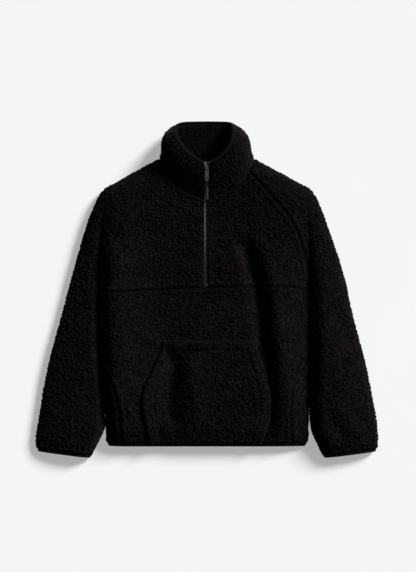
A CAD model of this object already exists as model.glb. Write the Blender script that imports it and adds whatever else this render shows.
"""Quarter-zip fleece pullover, laid flat on its back on a pale floor with its zip closed.

Metres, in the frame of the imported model: +X to the right, +Y towards the collar, +Z up.
"""
import math
from collections import namedtuple

import bpy
import numpy as np
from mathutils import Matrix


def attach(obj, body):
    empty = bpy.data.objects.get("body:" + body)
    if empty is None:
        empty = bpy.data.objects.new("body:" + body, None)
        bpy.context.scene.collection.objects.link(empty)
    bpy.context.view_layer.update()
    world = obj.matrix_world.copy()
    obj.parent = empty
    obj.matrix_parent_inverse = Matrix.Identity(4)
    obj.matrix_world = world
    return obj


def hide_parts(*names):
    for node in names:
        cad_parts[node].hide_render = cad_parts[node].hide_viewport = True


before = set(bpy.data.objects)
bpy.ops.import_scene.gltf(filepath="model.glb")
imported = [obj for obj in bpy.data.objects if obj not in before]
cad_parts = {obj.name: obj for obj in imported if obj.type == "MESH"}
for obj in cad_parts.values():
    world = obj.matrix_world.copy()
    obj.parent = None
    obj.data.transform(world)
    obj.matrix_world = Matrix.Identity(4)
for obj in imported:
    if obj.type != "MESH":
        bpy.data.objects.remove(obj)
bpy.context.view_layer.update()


# Back panel. One piece of black curly-pile fleece from the neck to the hem. The garment lies
# on it, so it is flat on the floor, and its sides turn up and over to the side seams, where
# it is overlocked to the front.

FLEECE = 0.005            # the cloth's wall under its pile
STEEP_WALL = 0.036        # the body's left edge slopes down to the sleeve within this
GENTLE_WALL = 0.095       # and its right edge within this
LIP_SHARE = 0.20          # the share of a slope's height in the small upright lip at its foot
LIP_WIDTH = 0.007
UNDER_ROLL = 0.014        # half width of the round fold along each edge, underneath
UNDERARM = 7.0            # the sleeve row where body and sleeve part
BACK_LIFTS_FROM = 4.5     # from this row down the back's edges rise off the floor
HEM_SEAM_Y = -0.3660

# The sleeves from neck to cuff: the raglan seam and then the inner edge, and the outer fold.
SleeveRow = namedtuple("SleeveRow", "seam_y fold_y seam_right fold_right seam_left fold_left back_up")
SLEEVE_ROWS = (
    SleeveRow(0.2856, 0.3168, 0.1020, 0.1140, -0.0972, -0.1128, 0.0330),
    SleeveRow(0.2520, 0.2904, 0.1332, 0.1644, -0.1284, -0.1644, 0.0120),
    SleeveRow(0.2160, 0.2616, 0.1644, 0.2172, -0.1596, -0.2148, 0.0060),
    SleeveRow(0.1848, 0.2424, 0.1908, 0.2508, -0.1860, -0.2484, 0.0030),
    SleeveRow(0.1464, 0.2040, 0.2148, 0.2724, -0.2100, -0.2700, 0.0020),
    SleeveRow(0.1032, 0.1464, 0.2292, 0.2940, -0.2268, -0.2916, 0.0010),
    SleeveRow(0.0552, 0.0840, 0.2412, 0.3156, -0.2424, -0.3096, 0.0),
    SleeveRow(0.0024, 0.0168, 0.2476, 0.3348, -0.2584, -0.3288, 0.0),
    SleeveRow(-0.0504, -0.0504, 0.2487, 0.3492, -0.2608, -0.3456, 0.0),
    SleeveRow(-0.1224, -0.1224, 0.2487, 0.3684, -0.2594, -0.3660, 0.0),
    SleeveRow(-0.1944, -0.1944, 0.2487, 0.3864, -0.2548, -0.3840, 0.0),
    SleeveRow(-0.2616, -0.2616, 0.2488, 0.3996, -0.2486, -0.3960, 0.0),
    SleeveRow(-0.3192, -0.3192, 0.2510, 0.4092, -0.2455, -0.4056, 0.0),
    SleeveRow(-0.3672, -0.3576, 0.2676, 0.4128, -0.2640, -0.4116, 0.0),
    SleeveRow(-0.4020, -0.3864, 0.2844, 0.4068, -0.2808, -0.4044, 0.0),
)

# The body's side edges, how deep the valley beside each sleeve is pressed (0 to 1), and how
# far the side seams lie in on the front.
EdgeRow = namedtuple("EdgeRow", "y right left valley right_in left_in")
EDGE_ROWS = (
    EdgeRow(0.2250, 0.2420, -0.2364, 0.0, 0.0, 0.0),
    EdgeRow(0.1776, 0.2450, -0.2484, 0.35, 0.0, 0.0),
    EdgeRow(0.1152, 0.2465, -0.2556, 0.65, 0.0, 0.0),
    EdgeRow(0.0576, 0.2472, -0.2578, 0.88, 0.0, 0.0),
    EdgeRow(0.0024, 0.2476, -0.2584, 1.0, 0.0, 0.0),
    EdgeRow(-0.0504, 0.2480, -0.2600, 1.0, 0.0, 0.0),
    EdgeRow(-0.1224, 0.2480, -0.2586, 1.0, 0.0, 0.0),
    EdgeRow(-0.1944, 0.2480, -0.2540, 1.0, 0.0200, 0.0200),
    EdgeRow(-0.2400, 0.2478, -0.2490, 1.0, 0.0450, 0.0310),
    EdgeRow(-0.2900, 0.2465, -0.2440, 1.0, 0.0460, 0.0350),
    EdgeRow(-0.3528, 0.2442, -0.2410, 1.0, 0.0410, 0.0370),
    EdgeRow(-0.3610, 0.2424, -0.2392, 1.0, 0.0400, 0.0365),
    EdgeRow(-0.3732, 0.2365, -0.2345, 1.0, 0.0350, 0.0330),
)

# How high the laid cloth stands, and the level where its edges turn under.
HeightRow = namedtuple("HeightRow", "y middle side sleeve belly")
HEIGHT_ROWS = (
    HeightRow(0.3200, 0.038, 0.038, 0.034, 0.0130),
    HeightRow(0.2400, 0.042, 0.043, 0.038, 0.0140),
    HeightRow(0.1200, 0.042, 0.046, 0.042, 0.0145),
    HeightRow(0.0024, 0.040, 0.049, 0.048, 0.0150),
    HeightRow(-0.1200, 0.038, 0.050, 0.050, 0.0150),
    HeightRow(-0.2400, 0.037, 0.048, 0.048, 0.0140),
    HeightRow(-0.3300, 0.030, 0.040, 0.043, 0.0120),
    HeightRow(-0.3610, 0.025, 0.029, 0.038, 0.0100),
    HeightRow(-0.3732, 0.021, 0.022, 0.034, 0.0085),
    HeightRow(-0.4020, 0.021, 0.022, 0.023, 0.0085),
)

# Folds and creases: three points along each, half its width, its depth (a ridge is negative).
Fold = namedtuple("Fold", "x0 y0 x1 y1 x2 y2 half_width depth")
FOLDS = (
    Fold(0.0840, 0.1400, 0.1210, 0.0024, 0.1395, -0.1730, 0.019, 0.0140),
    Fold(0.1345, -0.1280, 0.1540, -0.2500, 0.1420, -0.3500, 0.017, 0.0120),
    Fold(0.1280, 0.1300, 0.1620, 0.0000, 0.1820, -0.1730, 0.020, -0.0050),
    Fold(0.1780, -0.1280, 0.1920, -0.2400, 0.1900, -0.3200, 0.018, -0.0035),
    Fold(-0.0740, -0.1250, -0.0860, -0.2400, -0.0930, -0.3350, 0.026, 0.0145),
    Fold(-0.0420, -0.1400, -0.0280, -0.2400, -0.0200, -0.3500, 0.022, -0.0050),
    Fold(-0.2150, 0.1300, -0.2180, -0.0600, -0.2120, -0.3100, 0.032, -0.0090),
    Fold(0.2900, -0.0500, 0.3300, -0.0950, 0.3500, -0.1600, 0.020, 0.0040),
    Fold(-0.2850, -0.0900, -0.3200, -0.1500, -0.3500, -0.1900, 0.020, 0.0040),
    Fold(0.2750, -0.2900, 0.3150, -0.3300, 0.3550, -0.3800, 0.016, 0.0045),
    Fold(-0.2600, -0.3000, -0.3000, -0.3400, -0.3300, -0.3900, 0.016, 0.0045),
)
FOLD_TAPER = 0.045

# The pile: curled tufts, wider lumps, and how the cloth sinks into a seam and puffs up
# beside it.
TUFT_SIZE = 0.0058
TUFT_HIGH = 0.0027
CURL_SIZE = 0.0032
CURL_HIGH = 0.0012
LUMP_SIZE = 0.024
LUMP_HIGH = 0.0010
CURL_WARP = 0.0013
SEAM_SINKS = 0.0007
SEAM_HALF = 0.0022
SEAM_PINCH = 0.35         # how much of the pile stands right at a seam
SEAM_PINCH_WIDTH = 0.006  # and how far in from it the pile stands up whole
PUFF_HIGH = 0.0017
PUFF_AT = 0.0080
PUFF_HALF = 0.0045

BACK_ROWS_ABOVE = 104
BACK_ROWS_BELOW = 125
BACK_WRAP = 45
BACK_FLOOR = 115


def curve(xs, ys, x):
    """The smooth curve through the points (xs, ys), with no overshoot, read at x."""
    xs = np.asarray(xs, float)
    ys = np.asarray(ys, float)
    step = np.diff(xs)
    slope = np.diff(ys) / step
    lean = np.zeros_like(ys)
    turning = slope[:-1] * slope[1:]
    for k in np.nonzero(turning > 0)[0]:
        lean[k + 1] = 2.0 / (1.0 / slope[k] + 1.0 / slope[k + 1])
    lean[0] = slope[0]
    lean[-1] = slope[-1]
    x = np.clip(np.asarray(x, float), xs[0], xs[-1])
    k = np.clip(np.searchsorted(xs, x, side="right") - 1, 0, len(xs) - 2)
    t = (x - xs[k]) / step[k]
    return ((1 + 2 * t) * (1 - t) ** 2 * ys[k] + t * (1 - t) ** 2 * step[k] * lean[k]
            + t * t * (3 - 2 * t) * ys[k + 1] - t * t * (1 - t) * step[k] * lean[k + 1])


def along(rows, name, v):
    """One column of a table read at row number v, between rows too."""
    return curve(range(len(rows)), [getattr(row, name) for row in rows], v)


def at_y(rows, name, y):
    """One column of a table read at height y on the garment."""
    upward = sorted(rows, key=lambda row: row.y)
    return curve([row.y for row in upward], [getattr(row, name) for row in upward], y)


def ramp(x, start, end):
    """0 before start, 1 after end, and a smooth rise between."""
    t = np.clip((x - start) / (end - start), 0.0, 1.0)
    return t * t * (3 - 2 * t)


def roll(distance, width):
    """The rise of a quarter ellipse: 0 at the edge, 1 from width inwards."""
    e = np.clip(distance / width, 0.0, 1.0)
    return np.sqrt(np.maximum(0.0, 1.0 - (1.0 - e) ** 2))


def slope(distance, width, lip=LIP_SHARE, lip_width=LIP_WIDTH):
    """A rise that is steepest at the edge, where it starts with a small upright lip."""
    e = np.clip(distance / width, 0.0, 1.0)
    return lip * roll(distance, lip_width) + (1.0 - lip) * e * (2.0 - e)


def edge_x(x, y):
    """The body's side edge on the side that x is on."""
    return np.where(x > 0, at_y(EDGE_ROWS, "right", y), at_y(EDGE_ROWS, "left", y))


def plateau(x, y):
    """Height of the laid cloth away from its edges."""
    middle = at_y(HEIGHT_ROWS, "middle", y)
    side = at_y(HEIGHT_ROWS, "side", y)
    sleeve = at_y(HEIGHT_ROWS, "sleeve", y)
    past_edge = np.abs(x) - np.abs(edge_x(x, y))
    body = middle + (side - middle) * ramp(np.abs(x), 0.10, 0.20)
    return body + (sleeve - body) * ramp(past_edge, -0.01, 0.03)


def fold_depth(x, y):
    """How much the folds lower the cloth at x, y."""
    total = np.zeros(np.broadcast(x, y).shape)
    for fold in FOLDS:
        nearest = np.full(total.shape, 1.0)
        ends = np.full(total.shape, 1.0)
        stations = ((fold.x0, fold.y0), (fold.x1, fold.y1), (fold.x2, fold.y2))
        for (ax, ay), (bx, by) in zip(stations, stations[1:]):
            run = (bx - ax) ** 2 + (by - ay) ** 2
            t = np.clip(((x - ax) * (bx - ax) + (y - ay) * (by - ay)) / run, 0.0, 1.0)
            away = np.hypot(x - ax - t * (bx - ax), y - ay - t * (by - ay))
            nearest = np.minimum(nearest, away)
        for ex, ey in (stations[0], stations[2]):
            ends = np.minimum(ends, np.hypot(x - ex, y - ey))
        total += fold.depth * np.exp(-(nearest / fold.half_width) ** 2) * ramp(ends, 0.0, FOLD_TAPER)
    return total


def body_height(x, y):
    """Top of the body, and of the shoulders down to the underarm."""
    belly = at_y(HEIGHT_ROWS, "belly", y)
    away = np.abs(np.abs(x) - np.abs(edge_x(x, y)))
    width = np.where(np.asarray(x) > 0, GENTLE_WALL, STEEP_WALL)
    pressed = 1.0 - at_y(EDGE_ROWS, "valley", y) * (1.0 - slope(away, width))
    full = plateau(x, y) - fold_depth(x, y) - belly
    return belly + full * pressed


def seam_xy(side, v):
    """The raglan seam, and below the underarm the sleeve's inner edge."""
    return np.array([along(SLEEVE_ROWS, "seam_right" if side > 0 else "seam_left", v),
                     along(SLEEVE_ROWS, "seam_y", v)])


def side_seam_x(side, y):
    """The side seam on the front."""
    name = "right" if side > 0 else "left"
    return at_y(EDGE_ROWS, name, y) - side * at_y(EDGE_ROWS, name + "_in", y)


def body_line(y, fine=120):
    """From each side seam out over the body's edge and under it, at one height."""
    belly = at_y(HEIGHT_ROWS, "belly", y)
    halves = []
    for side in (-1, 1):
        edge = at_y(EDGE_ROWS, "right" if side > 0 else "left", y)
        inset = abs(edge - side_seam_x(side, y))
        top_x = edge - side * inset * (1.0 - np.sin(np.linspace(0.0, math.pi / 2, fine)))
        top = np.stack([top_x, np.full(fine, y), body_height(top_x, y)], axis=1)
        turn = UNDER_ROLL * (1.0 - np.cos(np.linspace(0.0, math.pi / 2, fine)))[1:]
        under = np.stack([edge - side * turn, np.full(fine - 1, y),
                          belly * (1.0 - roll(turn, UNDER_ROLL))], axis=1)
        halves.append(np.concatenate([top, under]))
    left, right = halves
    return left, right[::-1]


def back_line(v, fine=120):
    """The back above the underarm: its edges lift off the floor near the underarm."""
    lift = ramp(v, BACK_LIFTS_FROM, UNDERARM)
    halves = []
    for side in (-1, 1):
        seam = seam_xy(side, v)
        y = seam[1] + along(SLEEVE_ROWS, "back_up", v)
        belly = at_y(HEIGHT_ROWS, "belly", y)
        turn = UNDER_ROLL * (1.0 - np.cos(np.linspace(0.0, math.pi / 2, fine)))
        z = belly * lift * (1.0 - roll(turn, UNDER_ROLL))
        halves.append(np.stack([seam[0] - side * turn, np.full(fine, y), z], axis=1))
    left, right = halves
    return left, right[::-1]


def run_length(points, axis):
    """Distance along a grid's rows (axis 1) or columns (axis 0) from its first point."""
    steps = np.linalg.norm(np.diff(points, axis=axis), axis=-1)
    start = np.zeros_like(np.take(steps, [0], axis=axis))
    return np.cumsum(np.concatenate([start, steps], axis=axis), axis=axis)


def spaced(line, count):
    """Points at equal distances along a line."""
    length = run_length(line, 0)
    wanted = np.linspace(0.0, length[-1], count)
    return np.stack([np.interp(wanted, length, line[:, k]) for k in range(3)], axis=1)


def back_row(left, right):
    """One row of the back: wrapped edge, floor, wrapped edge."""
    left = spaced(left, BACK_WRAP)
    right = spaced(right, BACK_WRAP)
    share = np.linspace(0.0, 1.0, BACK_FLOOR + 2)[1:-1, None]
    return np.concatenate([left, left[-1] + (right[0] - left[-1]) * share, right])


def facing_out(points, facing):
    """Unit normals of a grid of points; facing is 1 or -1."""
    normal = np.cross(np.gradient(points, axis=1), np.gradient(points, axis=0)) * facing
    size = np.linalg.norm(normal, axis=-1, keepdims=True)
    return normal / np.maximum(size, 1e-12)


def scrambled(cell, salt):
    """A number from 0 to 1 for each cell, always the same one for the same cell."""
    mixed = cell[..., 0] * 73856093 ^ cell[..., 1] * 19349663 ^ cell[..., 2] * 83492791 ^ salt * 2654435
    mixed = (mixed ^ (mixed >> 13)) * 1274126177 & 0xFFFFFFFF
    mixed = (mixed ^ (mixed >> 16)) * 2246822519 & 0xFFFFFFFF
    return ((mixed ^ (mixed >> 15)) & 0xFFFFFF) / 0xFFFFFF


def clumps(points, size, salt):
    """Distance in cells to the nearest and the next of points strewn one to a cell."""
    scaled = points / size
    cell = np.floor(scaled).astype(np.int64)
    nearest = np.full(points.shape[:-1], 9.0)
    following = nearest.copy()
    for dx in (-1, 0, 1):
        for dy in (-1, 0, 1):
            for dz in (-1, 0, 1):
                other = cell + (dx, dy, dz)
                seed = np.stack([scrambled(other, salt + k) for k in range(3)], axis=-1)
                away = np.linalg.norm(other + seed - scaled, axis=-1)
                following = np.minimum(following, np.maximum(nearest, away))
                nearest = np.minimum(nearest, away)
    return nearest, following


def pile(points):
    """Height of the curly pile, about 0 on average, and 0 to 1 from its roots to its tips."""
    x, y, z = points[..., 0], points[..., 1], points[..., 2]
    curled = points + CURL_WARP * np.stack([
        np.sin(y * 610 + 1.3 * np.sin(x * 240)) + np.sin(z * 520 + y * 190),
        np.sin(x * 570 + 1.7 * np.sin(y * 260)) + np.sin(z * 480 + x * 210),
        np.sin(x * 430 + y * 390)], axis=-1)
    nearest, following = clumps(curled, TUFT_SIZE, 1)
    tuft = np.clip(1.15 - nearest ** 2, 0.0, 1.0) * ramp(following - nearest, 0.0, 0.30)
    nearest, following = clumps(curled, CURL_SIZE, 5)
    curl = np.clip(1.15 - nearest ** 2, 0.0, 1.0) * ramp(following - nearest, 0.0, 0.35)
    lump = 1.0 - clumps(points, LUMP_SIZE, 11)[0] ** 2
    height = TUFT_HIGH * (tuft - 0.55) + CURL_HIGH * (curl - 0.5) + LUMP_HIGH * (lump - 0.6)
    return height, 0.7 * tuft + 0.3 * curl


def from_edges(points, edges):
    """How far each point of a grid lies from the nearest of the named edges."""
    across = run_length(points, 1)
    down = run_length(points, 0)
    ways = {"first_column": across, "last_column": across[:, -1:] - across,
            "first_row": down, "last_row": down[-1:] - down}
    return np.min([ways[name] for name in edges], axis=0)


def beside_seam(distance):
    """The cloth sinks into a seam and puffs up beside it."""
    return (PUFF_HIGH * np.exp(-((distance - PUFF_AT) / PUFF_HALF) ** 2)
            - SEAM_SINKS * np.exp(-(distance / SEAM_HALF) ** 2))


ALL_EDGES = ("first_row", "last_row", "first_column", "last_column")
COARSER = 4               # the hidden face has a point at every fourth of the outer face's
FACES_TRIED = 400         # so many faces are tried to learn which way round they lie


def grid_faces(rows, columns, start, ring):
    """Four-cornered faces of a grid whose points start at one number."""
    index = start + np.arange(rows * columns).reshape(rows, columns)
    if ring:
        index = np.concatenate([index, index[:, :1]], axis=1)
    return np.stack([index[:-1, :-1], index[:-1, 1:], index[1:, 1:], index[1:, :-1]],
                    axis=-1).reshape(-1, 4).tolist(), index


def rim_faces(fine, coarse, step, forward):
    """Joins a fine edge to a coarse one that has every step-th of its points."""
    faces = []
    for j in range(len(coarse) - 1):
        a, b = coarse[j], coarse[j + 1]
        for k in range(step):
            near = a if k < (step + 1) // 2 else b
            faces.append((fine[j * step + k], fine[j * step + k + 1], near))
        faces.append((a, fine[j * step + (step + 1) // 2], b))
    return faces if forward else [face[::-1] for face in faces]


def mesh_piece(name, corners, faces, finish):
    """A smooth mesh in the scene, in one finish."""
    mesh = bpy.data.meshes.new(name)
    mesh.from_pydata(corners, [], faces)
    mesh.shade_smooth()
    mesh.materials.append(finish.material)
    piece = bpy.data.objects.new(name, mesh)
    bpy.context.scene.collection.objects.link(piece)
    return piece


def closed_wall(name, outer, inner, step, finish, ring=False, marks=None):
    """A closed piece of cloth between its outer grid and a coarser inner one."""
    outer_faces, out = grid_faces(*outer.shape[:2], 0, ring)
    inner_faces, inn = grid_faces(*inner.shape[:2], outer.shape[0] * outer.shape[1], ring)
    faces = outer_faces + [face[::-1] for face in inner_faces]
    faces += rim_faces(out[0], inn[0], step, False) + rim_faces(out[-1], inn[-1], step, True)
    if not ring:
        faces += rim_faces(out[:, 0], inn[:, 0], step, True)
        faces += rim_faces(out[:, -1], inn[:, -1], step, False)
    corners = np.concatenate([outer.reshape(-1, 3), inner.reshape(-1, 3)])
    first = np.array(outer_faces[:: max(1, len(outer_faces) // FACES_TRIED)])
    turned = np.cross(corners[first[:, 1]] - corners[first[:, 0]],
                      corners[first[:, 2]] - corners[first[:, 0]])
    hidden = inner.reshape(-1, 3)
    towards = np.array([p - hidden[np.argmin(np.sum((hidden - p) ** 2, axis=1))]
                        for p in corners[first[:, 0]]])
    if np.sum(turned * towards) < 0:
        faces = [face[::-1] for face in faces]
    piece = mesh_piece(name, corners.tolist(), faces, finish)
    for mark, values in (marks or {}).items():
        unseen = np.full(len(hidden), float(np.mean(values)))
        kept = piece.data.attributes.new(mark, "FLOAT", "POINT")
        kept.data.foreach_set("value", np.concatenate([values.ravel(), unseen]).astype(np.float32))
    return piece


def fleece_piece(name, smooth, normals, wall, seams=ALL_EDGES, extra=0.0, pile_share=1.0):
    """A wall of fleece with its pile standing on the smooth laid shape."""
    distance = from_edges(smooth, seams)
    height, tip = pile(smooth)
    pinched = SEAM_PINCH + (1 - SEAM_PINCH) * ramp(distance, 0.0, SEAM_PINCH_WIDTH)
    rise = beside_seam(distance) + extra + height * pinched * pile_share
    outer = smooth + normals * rise[..., None]
    outer[..., 2] = np.maximum(outer[..., 2], 0.0)
    wall = np.broadcast_to(wall, smooth.shape[:2])
    inner = (smooth - normals * wall[..., None])[::COARSER, ::COARSER]
    return closed_wall(name, outer, inner, COARSER, black_fleece, marks={"tuft": tip * pinched})


class Finish:
    """A procedural material, read at places on the piece itself."""

    def __init__(self, name):
        self.material = bpy.data.materials.new(name)
        self.material.use_nodes = True
        self.nodes = self.material.node_tree.nodes
        self.links = self.material.node_tree.links
        self.shader = self.nodes["Principled BSDF"]
        self.place = self.nodes.new("ShaderNodeTexCoord").outputs["Object"]

    def mark(self, name):
        """A value kept on the mesh, by its name."""
        made = self.nodes.new("ShaderNodeAttribute")
        made.attribute_name = name
        return made.outputs["Fac"]

    def texture(self, kind, scale, place=None, **more):
        """A texture node with its settings."""
        made = self.nodes.new("ShaderNodeTex" + kind)
        made.inputs["Scale"].default_value = scale
        for key, value in more.items():
            made.inputs[key].default_value = value
        self.links.new(self.place if place is None else place, made.inputs["Vector"])
        return made

    def noise(self, scale, **more):
        """The value of a noise texture."""
        return self.texture("Noise", scale, **more).outputs["Fac"]

    def work(self, operation, first, second):
        """A sum or product of two values, each a socket or a number."""
        made = self.nodes.new("ShaderNodeMath")
        made.operation = operation
        for socket, value in zip(made.inputs, (first, second)):
            if isinstance(value, (int, float)):
                socket.default_value = value
            else:
                self.links.new(value, socket)
        return made.outputs["Value"]

    def blend(self, *shares):
        """The sum of (value, share) pairs."""
        total = None
        for value, share in shares:
            part = self.work("MULTIPLY", value, share)
            total = part if total is None else self.work("ADD", total, part)
        return total

    def coloured(self, value, *stops):
        """The base colour: a ramp of (place, colour) stops."""
        made = self.nodes.new("ShaderNodeValToRGB")
        while len(made.color_ramp.elements) < len(stops):
            made.color_ramp.elements.new(0.5)
        for element, (place, colour) in zip(made.color_ramp.elements, stops):
            element.position = place
            element.color = (*colour, 1.0)
        self.links.new(value, made.inputs["Fac"])
        self.links.new(made.outputs["Color"], self.shader.inputs["Base Color"])

    def bumped(self, *layers):
        """Bumps of a real height in metres, each (height, distance, strength), one on another."""
        under = None
        for height, distance, strength in layers:
            made = self.nodes.new("ShaderNodeBump")
            made.inputs["Distance"].default_value = distance
            made.inputs["Strength"].default_value = strength
            self.links.new(height, made.inputs["Height"])
            if under is not None:
                self.links.new(under, made.inputs["Normal"])
            under = made.outputs["Normal"]
        self.links.new(under, self.shader.inputs["Normal"])

    def even(self, **settings):
        """Settings that are the same all over the piece."""
        for key, value in settings.items():
            self.shader.inputs[key.replace("_", " ")].default_value = value


# Black polyester fleece, curled and matt. The roots lie in their own shade, the tips are a
# little greyer and warmer, and loose fibres catch the light at a low angle.
black_fleece = Finish("black_pile_fleece")
wander = black_fleece.texture("Noise", 420.0, Detail=2.0)
shifted = black_fleece.nodes.new("ShaderNodeVectorMath")
shifted.operation = "MULTIPLY_ADD"
black_fleece.links.new(wander.outputs["Color"], shifted.inputs[0])
shifted.inputs[1].default_value = (0.0022, 0.0022, 0.0022)
black_fleece.links.new(black_fleece.place, shifted.inputs[2])
curls = black_fleece.texture("Voronoi", 520.0, shifted.outputs["Vector"]).outputs["Distance"]
fibres = black_fleece.noise(3200.0, Detail=3.0, Roughness=0.7)
patches = black_fleece.noise(38.0, Detail=3.0, Roughness=0.6)
lit = black_fleece.blend((black_fleece.mark("tuft"), 0.62), (patches, 0.30), (fibres, 0.14))
black_fleece.coloured(lit, (0.15, (0.0004, 0.0003, 0.0003)), (0.50, (0.0028, 0.0021, 0.0025)),
                      (0.80, (0.0095, 0.0072, 0.0085)))
black_fleece.bumped((curls, 0.0009, 0.55), (fibres, 0.0004, 0.5))
black_fleece.even(Roughness=0.92, Specular_IOR_Level=0.015, Sheen_Weight=0.06, Sheen_Roughness=0.4,
                  Sheen_Tint=(0.74, 0.72, 1.0, 1.0))

back_rows = [back_row(*back_line(v)) for v in np.linspace(0.0, UNDERARM, BACK_ROWS_ABOVE)]
back_rows += [back_row(*body_line(y)) for y in np.linspace(0.0024, HEM_SEAM_Y, BACK_ROWS_BELOW + 1)[1:]]
back_smooth = np.array(back_rows)
back_normals = facing_out(back_smooth, 1)
back_panel = fleece_piece("back_panel_cloth", back_smooth, back_normals, FLEECE)
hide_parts("back_panel")
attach(back_panel, "pullover")


# Lower front. One piece of the same fleece from side seam to side seam, between the chest
# seam under the zip and the hem. It is overlocked to the upper fronts along the chest seam.

ZIP_X = 0.001
ZIP_HALF_SLOT = 0.0055
CHEST_SEAM = ((-0.2584, 0.0024), (-0.2400, -0.0020), (-0.1000, 0.0040), (0.0, 0.0072),
              (0.1760, 0.0115), (0.2476, 0.0024))
LOWER_TOP_Y = 0.0024
CHEST_WAVE_ENDS_Y = -0.090
POCKET_SHARE = 0.50       # how far across each half of the front the pocket's side lies
POCKET_TOP_Y = -0.1188
PRESSED_UNDER = 0.0012    # the pocket presses the pile that it covers down by this
PocketRow = namedtuple("PocketRow", "y right left")
POCKET_ROWS = (
    PocketRow(0.0024, 0.1243, -0.1315),
    PocketRow(-0.060, 0.1200, -0.1130),
    PocketRow(-0.1188, 0.1188, -0.1044),
    PocketRow(-0.1900, 0.1390, -0.1310),
    PocketRow(-0.2520, 0.1530, -0.1548),
    PocketRow(-0.2800, 0.1548, -0.1535),
    PocketRow(HEM_SEAM_Y, 0.1332, -0.1356),
)
LOWER_ROWS = 205
LOWER_COLUMNS = 277


def zip_edge(side):
    """The edge of the fleece beside the zip."""
    return ZIP_X + side * ZIP_HALF_SLOT


def lower_front_line(y, side, shares):
    """A row of one half of the lower front: share 0 at the side seam, 1 at the zip's line."""
    seam = side_seam_x(side, y)
    pocket = at_y(POCKET_ROWS, "right" if side > 0 else "left", y)
    outer = seam + (pocket - seam) * np.minimum(shares / POCKET_SHARE, 1.0)
    inner = (zip_edge(side) - pocket) * np.maximum((shares - POCKET_SHARE) / (1 - POCKET_SHARE), 0.0)
    x = outer + inner
    fade = 1.0 - ramp(-y, -LOWER_TOP_Y, -CHEST_WAVE_ENDS_Y)
    wave = curve([p[0] for p in CHEST_SEAM], [p[1] for p in CHEST_SEAM], x) - LOWER_TOP_Y
    y = y + wave * fade
    return np.stack([x, y, body_height(x, y)], axis=1)


def lower_front_row(y, low_share, count):
    """A row of the lower front from its left to its right, evenly spaced."""
    shares = low_share + (1 - low_share) * (1 - np.cos(np.linspace(0.0, math.pi / 2, 240)))
    left = lower_front_line(y, -1, shares)
    right = lower_front_line(y, 1, shares)[::-1]
    return spaced(np.concatenate([left, right]), count)


lower_smooth = np.array([lower_front_row(y, 0.0, LOWER_COLUMNS)
                         for y in np.linspace(LOWER_TOP_Y, HEM_SEAM_Y, LOWER_ROWS)])
lower_normals = facing_out(lower_smooth, 1)
lower_normals *= np.sign(lower_normals[LOWER_ROWS // 2, LOWER_COLUMNS // 2, 2])
pocket_right = at_y(POCKET_ROWS, "right", lower_smooth[..., 1])
pocket_left = at_y(POCKET_ROWS, "left", lower_smooth[..., 1])
inside_pocket = np.minimum.reduce([
    pocket_right - lower_smooth[..., 0], lower_smooth[..., 0] - pocket_left,
    POCKET_TOP_Y - lower_smooth[..., 1]])
under_pocket = ramp(inside_pocket, -0.002, 0.003)
lower_front = fleece_piece("lower_front_cloth", lower_smooth, lower_normals, FLEECE,
                           pile_share=1.0 - under_pocket, extra=-PRESSED_UNDER * under_pocket)
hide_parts("front_lower")
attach(lower_front, "pullover")


# Upper fronts. Two pieces between the neck, the raglan seams and the chest seam, with the
# zip sewn between them, where the pile is pressed thin.

ZIP_DIP = 0.0015
ZIP_DIP_WIDTH = 0.008
ZIP_EDGE_WALL = 0.003
ZIP_LIP = 0.0022          # the right edge's pile stands up over the zip
ZIP_PRESSED = 0.35        # how much of the pile stands right beside the zip
ZIP_PRESSED_WIDTH = 0.012
NECK_SEAM = ((0.1020, 0.2856), (0.0900, 0.2664), (0.0708, 0.2496), (0.0480, 0.2375),
             (0.0228, 0.2275), (0.0065, 0.2195))
UPPER_ROWS = 169
UPPER_COLUMNS = 149


def neck_xy(side, share):
    """The front neck seam: share 0 at the raglan seam, 1 at the zip."""
    xs = [p[0] for p in NECK_SEAM]
    ys = [p[1] for p in NECK_SEAM]
    lengths = np.concatenate([[0.0], np.cumsum(np.hypot(np.diff(xs), np.diff(ys)))])
    x = curve(lengths, xs, share * lengths[-1])
    y = curve(lengths, ys, share * lengths[-1])
    if side < 0:
        raglan_x = abs(float(seam_xy(side, 0.0)[0]))
        zip_x = ZIP_HALF_SLOT - ZIP_X
        x = -(zip_x + (x - xs[-1]) * (raglan_x - zip_x) / (xs[0] - xs[-1]))
    return np.stack([x, y], axis=-1)


def chest_xy(side, share):
    """The chest seam: share 0 at the underarm, 1 at the zip."""
    outer = seam_xy(side, UNDERARM)[0]
    x = outer + (zip_edge(side) - outer) * share
    return np.stack([x, curve([p[0] for p in CHEST_SEAM], [p[1] for p in CHEST_SEAM], x)], axis=-1)


def upper_front_line(side, v, shares):
    """A row of an upper front: share 0 at the raglan seam, 1 at the zip."""
    down = v / UNDERARM
    across = shares[:, None]
    top_zip, low_zip = neck_xy(side, 1.0), chest_xy(side, 1.0)
    ruled = seam_xy(side, v) * (1 - across) + (top_zip + (low_zip - top_zip) * down) * across
    top = neck_xy(side, shares) - (neck_xy(side, 0.0) * (1 - across) + top_zip * across)
    low = chest_xy(side, shares) - (chest_xy(side, 0.0) * (1 - across) + low_zip * across)
    x, y = (ruled + top * (1 - down) + low * down).T
    dip = ZIP_DIP * np.exp(-((np.abs(x - ZIP_X) - ZIP_HALF_SLOT) / ZIP_DIP_WIDTH) ** 2)
    return np.stack([x, y, body_height(x, y) - dip], axis=1)


def even_rows(side, count):
    """Sleeve row numbers at equal distances along the raglan seam."""
    v = np.linspace(0.0, UNDERARM, 400)
    line = seam_xy(side, v).T
    return np.interp(np.linspace(0.0, 1.0, count), run_length(line, 0) / run_length(line, 0)[-1], v)


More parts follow.
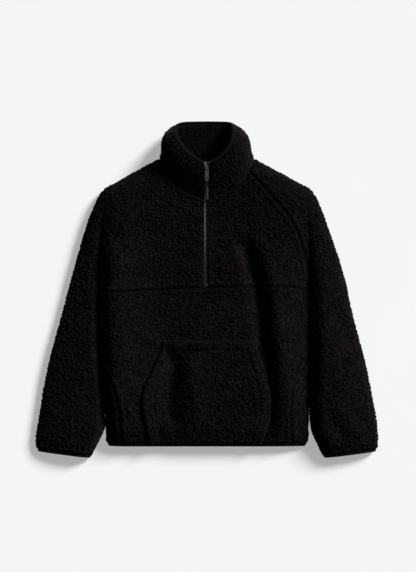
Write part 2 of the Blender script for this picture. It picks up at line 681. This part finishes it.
SIDE_NAMES = {1: "right", -1: "left"}
upper_smooth = {}
upper_normals = {}
for side in (1, -1):
    shares = 1 - np.cos(np.linspace(0.0, math.pi / 2, 300))
    smooth = np.array([spaced(upper_front_line(side, v, shares), UPPER_COLUMNS)
                       for v in even_rows(side, UPPER_ROWS)])
    normals = facing_out(smooth, 1)
    normals *= np.sign(normals[UPPER_ROWS // 2, UPPER_COLUMNS // 2, 2])
    upper_smooth[side] = smooth
    upper_normals[side] = normals
    at_zip = ramp(np.abs(smooth[..., 0] - ZIP_X), ZIP_HALF_SLOT, ZIP_HALF_SLOT + ZIP_PRESSED_WIDTH)
    wall = ZIP_EDGE_WALL + (FLEECE - ZIP_EDGE_WALL) * at_zip
    stands = ZIP_LIP * (side > 0) * (1.0 - at_zip)
    piece = fleece_piece("upper_front_cloth_" + SIDE_NAMES[side], smooth, normals, wall,
                         seams=("first_row", "last_row", "first_column"), extra=stands,
                         pile_share=ZIP_PRESSED + (1 - ZIP_PRESSED) * at_zip)
    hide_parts("front_upper_" + SIDE_NAMES[side])
    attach(piece, "pullover")


# Sleeves. Raglan sleeves, each one piece of fleece from the neck to the cuff, closed into a
# tube by a seam along its inner edge.

TOP_ROLL = 0.038          # half width of the round outer fold at the neck
SLEEVE_FOLD_ROLL = 0.066  # and half way down to the underarm
SLEEVE_WALLS = {          # the slope at the seam, the one at the fold, that one's lip, the height
    1: (0.036, 0.088, 0.40, 1.0),
    -1: (0.030, 0.118, 0.16, 0.70),
}
OUTER_LIP_WIDTH = 0.018
CUFF_RISES_FROM = 10.0    # the sleeve row from where a lowered sleeve opens up to its cuff
CUFF_SEAM = 13.82
CUFF_END = 14.0
SLEEVE_ROW_COUNT = 409
OVER_COLUMNS = 89
UNDER_COLUMNS = 41
PILE_SPREADS = 0.0024     # the pile of the inner edge spreads until it meets the body's


def fold_xy(side, v):
    """The sleeve's outer fold."""
    return np.array([along(SLEEVE_ROWS, "fold_right" if side > 0 else "fold_left", v),
                     along(SLEEVE_ROWS, "fold_y", v)])


def sleeve_line(side, v, fine=150):
    """The sleeve's cross-section: over the top from seam to fold, and back underneath."""
    seam, fold = seam_xy(side, v), fold_xy(side, v)
    width = math.dist(seam, fold)
    s = 0.5 - 0.5 * np.cos(np.linspace(0.0, math.pi, fine))
    x = seam[0] + (fold[0] - seam[0]) * s
    y = seam[1] + (fold[1] - seam[1]) * s
    belly = at_y(HEIGHT_ROWS, "belly", y)
    full = plateau(x, y) - fold_depth(x, y) - belly
    fold_roll = TOP_ROLL + (SLEEVE_FOLD_ROLL - TOP_ROLL) * ramp(v, 0.0, UNDERARM / 2)
    own_wall, outer_wall, lip, height = SLEEVE_WALLS[side]
    body_wall = GENTLE_WALL if side > 0 else STEEP_WALL
    if v < UNDERARM:
        away = np.abs(x) - np.abs(edge_x(x, y))
        reach = np.where(away < 0, body_wall, own_wall)
        pressed = 1.0 - at_y(EDGE_ROWS, "valley", y) * (1.0 - slope(np.abs(away), reach))
    else:
        pressed = slope(s * width, own_wall)
    flatter = ramp(v, UNDERARM / 2, UNDERARM + 1)
    outward = roll((1 - s) * width, fold_roll)
    outward += flatter * (slope((1 - s) * width, outer_wall, lip, OUTER_LIP_WIDTH) - outward)
    lowered = flatter * (1.0 - ramp(v, CUFF_RISES_FROM, CUFF_END))
    outward *= 1.0 - (1.0 - height) * lowered * ramp(s * width, 0.0, own_wall)
    over = np.stack([x, y, belly + full * pressed * outward], axis=1)
    back = seam + np.array([0.0, along(SLEEVE_ROWS, "back_up", v)])
    width = math.dist(back, fold)
    x = fold[0] + (back[0] - fold[0]) * s
    y = fold[1] + (back[1] - fold[1]) * s
    belly = at_y(HEIGHT_ROWS, "belly", y)
    closed = ramp(v, BACK_LIFTS_FROM, UNDERARM)
    z = belly * (1.0 - roll(s * width, UNDER_ROLL)
                 + closed * (1.0 - roll((1 - s) * width, UNDER_ROLL)))
    return over, np.stack([x, y, np.minimum(z, belly)], axis=1)


def sleeve_grid(side, rows, over_count, under_count):
    """Rows of a sleeve, evenly spaced over its top and again underneath."""
    grid = []
    for v in rows:
        over, under = sleeve_line(side, v)
        grid.append(np.concatenate([spaced(over, over_count), spaced(under, under_count)[1:]]))
    return np.array(grid)


def down_sleeve(side, count):
    """Sleeve row numbers at equal distances down the sleeve's middle."""
    v = np.linspace(0.0, CUFF_SEAM, 500)
    line = 0.5 * (seam_xy(side, v) + fold_xy(side, v)).T
    return np.interp(np.linspace(0.0, 1.0, count), run_length(line, 0) / run_length(line, 0)[-1], v)


sleeve_smooth = {}
for side in (1, -1):
    smooth = sleeve_grid(side, down_sleeve(side, SLEEVE_ROW_COUNT), OVER_COLUMNS, UNDER_COLUMNS)
    sleeve_smooth[side] = smooth
    normals = facing_out(smooth, -side)
    to_body = np.clip(-side * normals[..., 0], 0.0, 1.0)
    piece = fleece_piece("sleeve_cloth_" + SIDE_NAMES[side], smooth, normals, FLEECE,
                         extra=PILE_SPREADS * to_body)
    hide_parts("sleeve_" + SIDE_NAMES[side])
    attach(piece, "pullover")


# Kangaroo pocket. One piece of fleece sewn on the lower front along its top, its lower
# sides and the hem. Its edges are turned in and stitched down; the slanted sides stay open.

POCKET_ROW_COUNT = 141
POCKET_COLUMNS = 177
POCKET_BAND = 0.0018      # the turned-in edges are thicker by this
BAND_STEP = 0.004         # and thin down to the rest within this
TOP_BAND = 0.022          # how wide the edge is turned in at the top
SIDE_BAND = 0.027         # and at the sides
STITCH_DIP = 0.0013       # the band's inner edge is drawn in
STITCH_HALF = 0.0030
POCKET_MOUTH = 0.0012     # the open sides stand off the front by this
LIE_GAP = 0.0003
EDGE_THINS = 0.0035       # the outer edges round off by this
EDGE_ROUND = 0.006

under = np.array([lower_front_row(y, POCKET_SHARE, POCKET_COLUMNS)
                  for y in np.linspace(POCKET_TOP_Y, HEM_SEAM_Y, POCKET_ROW_COUNT)])
away = facing_out(under, 1)
away *= np.sign(away[POCKET_ROW_COUNT // 2, POCKET_COLUMNS // 2, 2])
from_top = from_edges(under, ("first_row",))
from_side = from_edges(under, ("first_column", "last_column"))
from_hem = from_edges(under, ("last_row",))
gap = LIE_GAP + POCKET_MOUTH * (1 - ramp(from_side, 0.0, 0.02)) * ramp(from_top, 0.01, 0.03)
wall = FLEECE + POCKET_BAND * np.maximum(1 - ramp(from_top, TOP_BAND - BAND_STEP, TOP_BAND),
                                         1 - ramp(from_side, SIDE_BAND - BAND_STEP, SIDE_BAND))
wall *= 0.5 + 0.5 * ramp(from_hem, 0.0, EDGE_ROUND)
border = np.minimum(from_top, from_side)
wall -= EDGE_THINS * (1 - roll(border, EDGE_ROUND))
for distance, band, other, other_band in ((from_top, TOP_BAND, from_side, SIDE_BAND),
                                          (from_side, SIDE_BAND, from_top, TOP_BAND)):
    dip = np.exp(-((distance - band) / STITCH_HALF) ** 2)
    wall -= STITCH_DIP * dip * ramp(other, 0.0, other_band)
height, tip = pile(under + away * FLEECE)
flatter = 0.5 + 0.5 * ramp(border, 0.0, 0.005)
outer = under + away * (gap + wall + height * flatter)[..., None]
inner = (under + away * gap[..., None])[::COARSER, ::COARSER]
pocket = closed_wall("pocket_cloth", outer, inner, COARSER, black_fleece,
                     marks={"tuft": tip * flatter})
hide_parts("pocket")
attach(pocket, "pullover")


# Collar. A stand-up collar of two layers of fleece on the neck seam. At the front it stands
# and leans out; at the back it lies flat on the floor.

COLLAR_WALL = 0.0075
RIM_WALL = 0.0042         # under the binding the two layers are pressed together
BULGE_RISES = 1.4         # above 1 the bulge is fullest above the collar's middle
LIES_FLAT_FROM = 0.50
LIES_FLAT_TO = 0.64
BULGE_LIFTS_BY = 0.03
BINDING_FROM = 0.94       # the share of the collar's height where its binding starts
NECK_THINS = 0.010        # the collar comes down to one layer within this of the neck seam
EDGE_THINS_IN = 0.012     # and thins down to its rim and to the zip within this
ZIP_FLATTENS = 0.010
COLLAR_COLUMNS = 329
COLLAR_ROWS = 57

# The rim of the collar: how far round the neck (0 at the zip, 1 at the middle of the back),
# how far right and left of the zip's line, y, z, and how far the collar bulges out below.
RimPoint = namedtuple("RimPoint", "share right left y z bulge")
COLLAR_RIM = (
    RimPoint(0.0, 0.0055, 0.0055, 0.3065, 0.0710, 0.0040),
    RimPoint(0.10, 0.0220, 0.0200, 0.3150, 0.0735, 0.0060),
    RimPoint(0.30, 0.0430, 0.0460, 0.3350, 0.0745, 0.0100),
    RimPoint(0.42, 0.0560, 0.0630, 0.3570, 0.0735, 0.0150),
    RimPoint(0.52, 0.0610, 0.0720, 0.3800, 0.0640, 0.0185),
    RimPoint(0.60, 0.0610, 0.0700, 0.3970, 0.0450, 0.0180),
    RimPoint(0.68, 0.0560, 0.0600, 0.4050, 0.0250, 0.0120),
    RimPoint(0.78, 0.0400, 0.0420, 0.4080, 0.0080, 0.0060),
    RimPoint(1.0, 0.0, 0.0, 0.4090, 0.0, 0.0030),
)

neck_line = np.concatenate([
    upper_smooth[1][0][::-1], sleeve_smooth[1][0][1:], back_smooth[0][::-1][1:],
    sleeve_smooth[-1][0][::-1][1:], upper_smooth[-1][0][1:]])
neck_line = spaced(neck_line, COLLAR_COLUMNS)


def collar_grid(rises):
    """Points of the collar at shares of its height, from the zip round the neck to the zip."""
    share = np.linspace(0.0, 2.0, COLLAR_COLUMNS)
    turn = np.where(share <= 1.0, 1.0, -1.0)
    share = np.where(share <= 1.0, share, 2.0 - share)
    rim_shares = [point.share for point in COLLAR_RIM]
    rim_out = np.where(turn > 0, curve(rim_shares, [point.right for point in COLLAR_RIM], share),
                       curve(rim_shares, [point.left for point in COLLAR_RIM], share))
    rim = np.stack([
        ZIP_X + turn * rim_out,
        curve(rim_shares, [point.y for point in COLLAR_RIM], share),
        curve(rim_shares, [point.z for point in COLLAR_RIM], share)], axis=1)
    rise = np.asarray(rises)[:, None, None]
    points = neck_line + (rim - neck_line) * rise
    lies_flat = ramp(share, LIES_FLAT_FROM, LIES_FLAT_TO)
    climb = rise[..., 0] ** (1.0 + lies_flat)
    points[..., 2] = neck_line[:, 2] + (rim[:, 2] - neck_line[:, 2]) * climb
    normals = facing_out(points, 1)
    fullest = curve(rim_shares, [point.bulge for point in COLLAR_RIM], share)[:, None]
    bulge = fullest * np.sin(math.pi * rise ** BULGE_RISES)
    bulge = bulge * ramp(points[..., 2:], 0.0, BULGE_LIFTS_BY)
    return points + normals * bulge, normals


def two_faced(name, outer_smooth, normals, wall, outer_rise, inner_rise, finish, marks):
    """A wall that shows on both faces, so both have all its points."""
    outer = outer_smooth + normals * outer_rise[..., None]
    outer[..., 2] = np.maximum(outer[..., 2], 0.0)
    inner = outer_smooth - normals * (wall + inner_rise)[..., None]
    return closed_wall(name, outer, inner, 1, finish, marks=marks)


collar_smooth, collar_normals = collar_grid(np.linspace(0.0, BINDING_FROM, COLLAR_ROWS))
from_zip = from_edges(collar_smooth, ("first_column", "last_column"))
from_neck = from_edges(collar_smooth, ("first_row",))
from_rim = from_edges(collar_smooth, ("last_row",))
wall = FLEECE + (COLLAR_WALL - FLEECE) * ramp(from_neck, 0.0, NECK_THINS)
wall = RIM_WALL + (wall - RIM_WALL) * ramp(from_rim, 0.0, EDGE_THINS_IN)
wall = ZIP_EDGE_WALL + (wall - ZIP_EDGE_WALL) * ramp(from_zip, 0.0, EDGE_THINS_IN)
height, tip = pile(collar_smooth)
flatter = 0.35 + 0.65 * ramp(from_zip, 0.0, ZIP_FLATTENS)
flatter = flatter * (0.4 + 0.6 * ramp(np.minimum(from_neck, from_rim), 0.0, SEAM_PINCH_WIDTH))
outer_rise = height * flatter + beside_seam(from_neck) * ramp(collar_smooth[..., 2], 0.005, 0.02)
inner_rise = 0.8 * pile(collar_smooth - collar_normals * COLLAR_WALL)[0] * flatter
collar = two_faced("collar_cloth", collar_smooth, collar_normals, wall, outer_rise, inner_rise,
                   black_fleece, {"tuft": tip * flatter})
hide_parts("collar")
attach(collar, "pullover")


# Bindings. Strips of black ribbed knit folded over the raw edges of the collar, the cuffs
# and the hem, and stitched through. They are smoother than the pile, so they catch light.

CUFF_BINDING = 13.83      # the sleeve row where the cuff's binding starts
HEM_END_Y = -0.3732
RIM_ROUND = 0.0014        # the strip rounds off by this where it turns over the edge
RIM_TURN = 0.004          # and within this of it
BINDING_SWELL = 0.0007
BINDING_RIB = 0.0016      # from rib to rib of the knit
COLLAR_BINDING_ROWS = 13
RING_ROWS = 9
CUFF_OVER = 61
CUFF_UNDER = 53
HEM_COLUMNS = 193

black_binding = Finish("black_rib_binding")
along_strip = black_binding.work("MULTIPLY", black_binding.mark("run"), 2 * math.pi / BINDING_RIB)
ribs = black_binding.work("SINE", along_strip, 0.0)
yarn = black_binding.noise(1500.0, Detail=3.0, Roughness=0.65)
patches = black_binding.noise(70.0, Detail=2.0)
shade = black_binding.blend((black_binding.work("ADD", ribs, 1.0), 0.22), (yarn, 0.4), (patches, 0.2))
black_binding.coloured(shade, (0.15, (0.0006, 0.0004, 0.0005)), (0.55, (0.0030, 0.0022, 0.0027)),
                       (0.95, (0.0075, 0.0058, 0.0068)))
black_binding.bumped((ribs, 0.00025, 0.6), (yarn, 0.00025, 0.6))
black_binding.even(Roughness=0.72, Specular_IOR_Level=0.03, Sheen_Weight=0.012,
                   Sheen_Roughness=0.4, Sheen_Tint=(0.85, 0.78, 0.86, 1.0))


def swell(rows):
    """A folded strip is fullest along its middle."""
    return BINDING_SWELL * np.sin(np.linspace(0.0, math.pi, rows))[:, None]


rim_smooth, rim_normals = collar_grid(np.linspace(BINDING_FROM, 1.0, COLLAR_BINDING_ROWS))
rim_zip = from_edges(rim_smooth, ("first_column", "last_column"))
rounding = RIM_ROUND * (1 - roll(from_edges(rim_smooth, ("last_row",)), RIM_TURN))
wall = ZIP_EDGE_WALL + (RIM_WALL - ZIP_EDGE_WALL) * ramp(rim_zip, 0.0, EDGE_THINS_IN) - rounding
full = swell(COLLAR_BINDING_ROWS)
collar_binding = two_faced("collar_binding_cloth", rim_smooth, rim_normals, wall,
                           full - 0.5 * rounding, full, black_binding,
                           {"run": run_length(rim_smooth, 1)})
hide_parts("collar_binding")
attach(collar_binding, "pullover")


def bound_ring(name, smooth, normals, node):
    """A binding closed into a ring round a sleeve end or the hem."""
    rounding = RIM_ROUND * (1 - roll(from_edges(smooth, ("last_row",)), RIM_TURN))
    outer = smooth + normals * (swell(len(smooth)) - rounding)[..., None]
    outer[..., 2] = np.maximum(outer[..., 2], 0.0)
    inner = smooth - normals * (FLEECE - rounding)[..., None]
    piece = closed_wall(name, outer, inner, 1, black_binding, ring=True,
                        marks={"run": run_length(smooth, 1)})
    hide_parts(node)
    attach(piece, "pullover")


cuff_paths = {}
for side in (1, -1):
    smooth = sleeve_grid(side, np.linspace(CUFF_BINDING, CUFF_END, RING_ROWS),
                         CUFF_OVER, CUFF_UNDER)[:, :-1]
    normals = facing_out(smooth, -side)
    cuff_paths[side] = (smooth, normals)
    bound_ring("cuff_binding_cloth_" + SIDE_NAMES[side], smooth, normals,
               "cuff_binding_" + SIDE_NAMES[side])

hem_rows = []
for y in np.linspace(HEM_SEAM_Y, HEM_END_Y, RING_ROWS):
    front = lower_front_row(y, 0.0, HEM_COLUMNS)
    back = back_row(*body_line(y))[::-1][1:-1]
    hem_rows.append(np.concatenate([front, back]))
hem_smooth = np.array(hem_rows)
hem_normals = facing_out(hem_smooth, 1)
hem_normals *= np.sign(hem_normals[RING_ROWS // 2, HEM_COLUMNS // 2, 2])
bound_ring("hem_binding_cloth", hem_smooth, hem_normals, "hem_binding")


# Stitches. Black polyester thread, one row of lockstitches sewn through each binding: round
# the collar's rim, round both cuffs and along the hem.

THREAD = 0.00032          # half its thickness
THREAD_SIDES = 5
STITCH_LONG = 0.0026
STITCH_STEP = 0.0034
STITCH_BENDS = np.array([-0.5, -0.28, 0.28, 0.5])   # shares of its length: in, up, along, in
STITCH_ROW = 2            # the row of the binding's grid that is sewn through
STITCH_RISES = 0.0006

black_thread = Finish("black_thread")
twist = black_thread.noise(2500.0, Detail=2.0)
black_thread.coloured(twist, (0.3, (0.006, 0.005, 0.006)), (0.7, (0.022, 0.019, 0.021)))
black_thread.bumped((twist, 0.0001, 0.5))
black_thread.even(Roughness=0.5, Specular_IOR_Level=0.35)


def stitched(name, smooth, normals):
    """A row of stitches along one row of a binding's grid."""
    up = normals[STITCH_ROW]
    path = smooth[STITCH_ROW] + up * STITCH_RISES
    length = run_length(path, 0)
    corners, faces = [], []
    for k in range(int(length[-1] / STITCH_STEP)):
        at = STITCH_STEP * (k + 0.5) + STITCH_LONG * STITCH_BENDS
        line = np.stack([np.interp(at, length, path[:, i]) for i in range(3)], axis=1)
        out = np.array([np.interp(at[1], length, up[:, i]) for i in range(3)])
        out /= np.linalg.norm(out)
        way = line[3] - line[0]
        way /= max(np.linalg.norm(way), 1e-9)
        side_way = np.cross(way, out)
        start = len(corners)
        corners.append(line[0] - out * THREAD)
        for spot in (line[1], line[2]):
            for turn in range(THREAD_SIDES):
                angle = turn * 2 * math.pi / THREAD_SIDES
                corners.append(spot + out * THREAD * (0.6 + math.sin(angle))
                               + side_way * THREAD * math.cos(angle))
        corners.append(line[3] - out * THREAD)
        near, far = start + 1, start + 1 + THREAD_SIDES
        for turn in range(THREAD_SIDES):
            after = (turn + 1) % THREAD_SIDES
            faces.append((start, near + after, near + turn))
            faces.append((near + turn, near + after, far + after, far + turn))
            faces.append((far + THREAD_SIDES, far + turn, far + after))
    corners = np.array(corners)
    corners[:, 2] = np.maximum(corners[:, 2], 0.0)
    piece = mesh_piece(name, corners.tolist(), faces, black_thread)
    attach(piece, "pullover")


stitched("collar_stitches", rim_smooth, rim_normals)
for side in (1, -1):
    stitched("cuff_stitches_" + SIDE_NAMES[side], *cuff_paths[side])
stitched("hem_stitches", hem_smooth[:, :HEM_COLUMNS], hem_normals[:, :HEM_COLUMNS])


# Zip. Two woven tapes behind the fleece edges, a closed chain of teeth, a metal slider near
# the top with a pull tab hinged on its crown, and a bottom stop.

TAPE_GAP = 0.0006
TAPE_TOP_SHARE = 0.97     # the share of the collar's height where the chain starts
TAPE_DARK_Y = 0.06        # the tapes are worn paler from the lower one of these
TAPE_PALE_Y = 0.15        # up to the upper one
TOOTH_STEP = 0.0014
TOOTH_HIGH = 0.0011
TOOTH_HALF_THICK = 0.00052
TOOTH_SIDES = 6
TOOTH_FROM_TOP = 0.018
TOOTH_TO_END = 0.006
# Across the chain from the tape to the tooth's head: how far, and how much of its full size.
TOOTH_RINGS = ((-0.0009, 0.55), (-0.0005, 1.0), (0.0012, 0.9), (0.0027, 0.75), (0.0030, 0.4))

grey_tape = Finish("grey_zip_tape")
weave_along = grey_tape.texture("Wave", 420.0, Distortion=1.0)
weave_along.bands_direction = "Y"
weave_across = grey_tape.texture("Wave", 520.0, Distortion=0.6)
weave_across.bands_direction = "DIAGONAL"
weave = grey_tape.work("MULTIPLY", weave_along.outputs["Fac"], weave_across.outputs["Fac"])
shade = grey_tape.blend((weave, 0.5), (grey_tape.noise(160.0, Detail=3.0), 0.5))
height = grey_tape.nodes.new("ShaderNodeSeparateXYZ")
grey_tape.links.new(grey_tape.place, height.inputs["Vector"])
pale_top = grey_tape.nodes.new("ShaderNodeMapRange")
pale_top.inputs["From Min"].default_value = TAPE_DARK_Y
pale_top.inputs["From Max"].default_value = TAPE_PALE_Y
pale_top.inputs["To Min"].default_value = 0.20
grey_tape.links.new(height.outputs["Y"], pale_top.inputs["Value"])
shade = grey_tape.work("MULTIPLY", shade, pale_top.outputs["Result"])
grey_tape.coloured(shade, (0.05, (0.006, 0.0056, 0.0058)), (0.60, (0.24, 0.225, 0.225)))
grey_tape.bumped((weave, 0.00015, 0.6))
grey_tape.even(Roughness=0.55, Specular_IOR_Level=0.4)
for side in (1, -1):
    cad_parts["zip_tape_" + SIDE_NAMES[side]].material_slots[0].material = grey_tape.material

worn_nickel = Finish("worn_nickel")
scuffs = worn_nickel.noise(900.0, Detail=4.0, Roughness=0.7)
haze = worn_nickel.noise(220.0, Detail=2.0)
worn_nickel.coloured(haze, (0.3, (0.30, 0.27, 0.24)), (0.7, (0.50, 0.47, 0.43)))
rough = worn_nickel.nodes.new("ShaderNodeMapRange")
rough.inputs["To Min"].default_value = 0.26
rough.inputs["To Max"].default_value = 0.52
worn_nickel.links.new(scuffs, rough.inputs["Value"])
worn_nickel.links.new(rough.outputs["Result"], worn_nickel.shader.inputs["Roughness"])
worn_nickel.bumped((scuffs, 0.00006, 0.5))
worn_nickel.even(Metallic=1.0)
for name in ("zip_slider", "zip_bottom_stop", "zip_pull_tab"):
    metal_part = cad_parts[name]
    metal_part.material_slots[0].material = worn_nickel.material
    rounded = metal_part.modifiers.new("rounded_edges", "BEVEL")
    rounded.width = 0.00022
    rounded.segments = 2
    rounded.limit_method = "ANGLE"

tooth_nylon = Finish("tooth_nylon")
grime = tooth_nylon.noise(600.0, Detail=3.0)
tooth_nylon.coloured(grime, (0.3, (0.012, 0.011, 0.011)), (0.7, (0.036, 0.034, 0.033)))
tooth_nylon.bumped((grime, 0.00005, 0.4))
tooth_nylon.even(Roughness=0.38, Specular_IOR_Level=0.5)

collar_edge, collar_edge_normals = collar_grid(np.linspace(TAPE_TOP_SHARE, 0.0, 60))
edge = np.concatenate([collar_edge[:, 0], upper_smooth[1][1:, -1]])
up = np.concatenate([collar_edge_normals[:, 0], upper_normals[1][1:, -1]])
other = np.concatenate([collar_edge[:, -1], upper_smooth[-1][1:, -1]])
other_up = np.concatenate([collar_edge_normals[:, -1], upper_normals[-1][1:, -1]])
below = ZIP_EDGE_WALL + TAPE_GAP
zip_line = 0.5 * (edge - up * below + other - other_up * below)
zip_line[:, 0] = ZIP_X
zip_run = run_length(zip_line, 0)


def tooth_chain(side):
    """The teeth of one tape: rounded bars whose heads reach between those of the other."""
    corners, faces = [], []
    first = TOOTH_FROM_TOP + (side > 0) * TOOTH_STEP / 2
    for distance in np.arange(first, zip_run[-1] - TOOTH_TO_END, TOOTH_STEP):
        at = np.array([np.interp(distance, zip_run, zip_line[:, k]) for k in range(3)])
        ahead = np.array([np.interp(distance + 0.002, zip_run, zip_line[:, k]) for k in range(3)])
        way = ahead - at
        way /= np.linalg.norm(way)
        out = np.cross(way, (1.0, 0.0, 0.0))
        out *= np.sign(out[2])
        start = len(corners)
        for reach, size in TOOTH_RINGS:
            middle = at + np.array([side * reach, 0.0, 0.0]) + out * TOOTH_HIGH * 0.5
            for turn in range(TOOTH_SIDES):
                angle = math.pi / TOOTH_SIDES + turn * 2 * math.pi / TOOTH_SIDES
                corners.append(middle + way * TOOTH_HALF_THICK * size * math.cos(angle)
                               + out * TOOTH_HIGH * 0.5 * size * math.sin(angle))
        for ring in range(len(TOOTH_RINGS) - 1):
            for turn in range(TOOTH_SIDES):
                a = start + ring * TOOTH_SIDES + turn
                b = start + ring * TOOTH_SIDES + (turn + 1) % TOOTH_SIDES
                faces.append((a, b, b + TOOTH_SIDES, a + TOOTH_SIDES))
        last = start + (len(TOOTH_RINGS) - 1) * TOOTH_SIDES
        faces.append(tuple(start + turn for turn in reversed(range(TOOTH_SIDES))))
        faces.append(tuple(last + turn for turn in range(TOOTH_SIDES)))
    piece = mesh_piece("zip_teeth_" + SIDE_NAMES[side], [list(corner) for corner in corners],
                       faces if side > 0 else [face[::-1] for face in faces], tooth_nylon)
    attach(piece, "pullover")


for side in (1, -1):
    tooth_chain(side)


# Studio. A plain pale floor that glows a little, so that the shadows on it stay pale, with one
# soft light from the upper right, a fill that is weaker from the lower left, and the camera
# straight above.

FLOOR_TONE = 0.49
FLOOR_GLOW = 0.375
FLOOR_REACH = 30.0
FLOOR_DROP = 0.0005       # the floor lies this far below the cloth
KEY_ELEVATION = math.radians(27.0)
KEY_AZIMUTH = math.radians(42.0)
FILL_DARK_SIDE = 0.01
FILL_LIGHT_SIDE = 0.16
CAMERA_AT = (0.0036, 0.012, 3.833)

pale_floor = Finish("pale_floor")
pale_floor.coloured(pale_floor.noise(3.0, Detail=2.0),
                    (0.3, tuple(FLOOR_TONE * t for t in (0.995, 0.995, 1.0))),
                    (0.7, tuple(FLOOR_TONE * 1.01 * t for t in (1.0, 1.0, 1.0))))
pale_floor.even(Roughness=0.9, Specular_IOR_Level=0.1, Emission_Color=(1.0, 1.0, 1.0, 1.0),
                Emission_Strength=FLOOR_GLOW)
floor = mesh_piece("floor", [(x * FLOOR_REACH, y * FLOOR_REACH, 0)
                             for x, y in ((-1, -1), (1, -1), (1, 1), (-1, 1))],
                   [(0, 1, 2, 3)], pale_floor)
floor.location.z = -FLOOR_DROP

key = bpy.data.lights.new("key", "SUN")
key.energy = 7.0
key.angle = math.radians(18.0)
key_lamp = bpy.data.objects.new("key", key)
bpy.context.scene.collection.objects.link(key_lamp)
key_lamp.rotation_euler = (0.0, math.pi / 2 - KEY_ELEVATION, KEY_AZIMUTH)

world = bpy.data.worlds.new("studio")
world.use_nodes = True
nodes, links = world.node_tree.nodes, world.node_tree.links
facing = nodes.new("ShaderNodeVectorMath")
facing.operation = "DOT_PRODUCT"
links.new(nodes.new("ShaderNodeTexCoord").outputs["Generated"], facing.inputs[0])
facing.inputs[1].default_value = (math.cos(KEY_AZIMUTH), math.sin(KEY_AZIMUTH), 0.0)
falloff = nodes.new("ShaderNodeMapRange")
falloff.interpolation_type = "SMOOTHSTEP"
falloff.inputs["From Min"].default_value = -0.7
falloff.inputs["From Max"].default_value = 0.8
falloff.inputs["To Min"].default_value = FILL_DARK_SIDE
falloff.inputs["To Max"].default_value = FILL_LIGHT_SIDE
links.new(facing.outputs["Value"], falloff.inputs["Value"])
links.new(falloff.outputs["Result"], nodes["Background"].inputs["Strength"])
nodes["Background"].inputs["Color"].default_value = (1.0, 1.0, 1.0, 1.0)
bpy.context.scene.world = world

camera_lens = bpy.data.cameras.new("camera")
camera_lens.lens = 100.0
camera_lens.sensor_width = 36.0
camera_lens.clip_end = 60.0
camera = bpy.data.objects.new("camera", camera_lens)
camera.location = CAMERA_AT
bpy.context.scene.collection.objects.link(camera)
bpy.context.scene.camera = camera
bpy.context.scene.view_settings.view_transform = "Standard"
